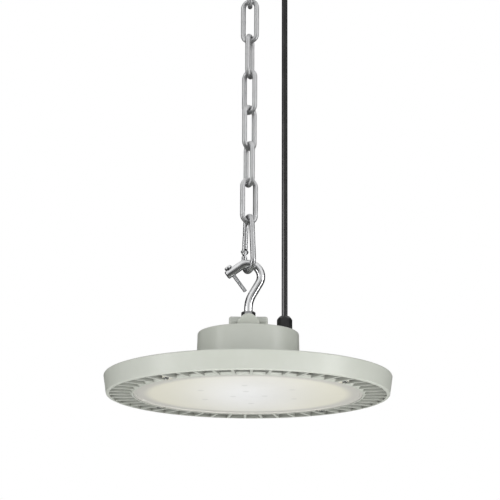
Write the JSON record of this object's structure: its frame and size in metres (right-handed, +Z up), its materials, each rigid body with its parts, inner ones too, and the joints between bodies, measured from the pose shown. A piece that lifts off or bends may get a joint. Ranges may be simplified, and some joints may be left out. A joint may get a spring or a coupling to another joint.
{
  "type": "high bay light",
  "caption": "Round LED high bay light with ribbed cast body, driver housing and frosted lens, hung from a ceiling plate by hook, snap hook and welded chain beside a straight cable.",
  "frame": {"origin": "middle of the ceiling plate's top face", "axes": "+Z up out of the ceiling face, -Y towards the viewer's side, +X towards the supply cable"},
  "size_m": [0.2994, 0.2994, 0.5174],
  "materials": {
    "painted_casting": "smooth light sage-grey powder coat",
    "painted_steel": "smooth light grey powder coat",
    "zinc_steel": "bright zinc plate",
    "snap_steel": "dull zinc plate",
    "galvanised_chain": "matt electro-galvanised",
    "black_plastic": "matt black polyamide",
    "black_rubber": "black rubber",
    "cable_rubber": "satin black rubber sheath",
    "silicone_seal": "pale silicone",
    "bare_aluminium": "plain aluminium can",
    "white_plastic": "white polyamide",
    "white_board": "white board lacquer",
    "led_chip": "yellow phosphor",
    "frosted_lens": "frosted polycarbonate"
  },
  "bodies": {
    "hanging_light": {"board_screws": "zinc_steel", "cable": "cable_rubber", "ceiling_cord_grip": "black_plastic", "ceiling_eye": "zinc_steel", "ceiling_plate": "painted_steel", "chain_link_1": "galvanised_chain", "chain_link_2": "galvanised_chain", "chain_link_3": "galvanised_chain", "chain_link_4": "galvanised_chain", "chain_link_5": "galvanised_chain", "chain_link_6": "galvanised_chain", "chain_link_7": "galvanised_chain", "driver_housing": "painted_casting", "driver_module": "bare_aluminium", "eye_lock_nut": "zinc_steel", "gland_body": "black_plastic", "gland_cap": "black_plastic", "gland_lock_nut": "black_plastic", "gland_seal": "black_rubber", "hanging_hook": "zinc_steel", "heat_sink": "painted_casting", "hook_inner_nut": "zinc_steel", "hook_lock_nut": "zinc_steel", "hook_safety_screw": "zinc_steel", "housing_gasket": "silicone_seal", "housing_screws": "zinc_steel", "led_board": "white_board", "leds": "led_chip", "lens_cover": "frosted_lens", "lens_gasket": "silicone_seal", "lens_screws": "zinc_steel", "snap_hook_body": "snap_steel", "snap_hook_rivet": "snap_steel", "terminal_block": "white_plastic", "thermal_pad": "silicone_seal"},
    "snap_gate": {"snap_hook_gate": "snap_steel"}
  },
  "joints": [
    {"name": "snap_gate_hinge", "type": "hinge", "parent": "hanging_light", "child": "snap_gate", "pos_m": [-0.00434, 0.00889, -0.36105], "axis": [0.8988, 0.4384, 0], "range_deg": [0, 22], "stiffness_Nm_per_rad": 0.12, "springref_deg": -22.92}
  ]
}
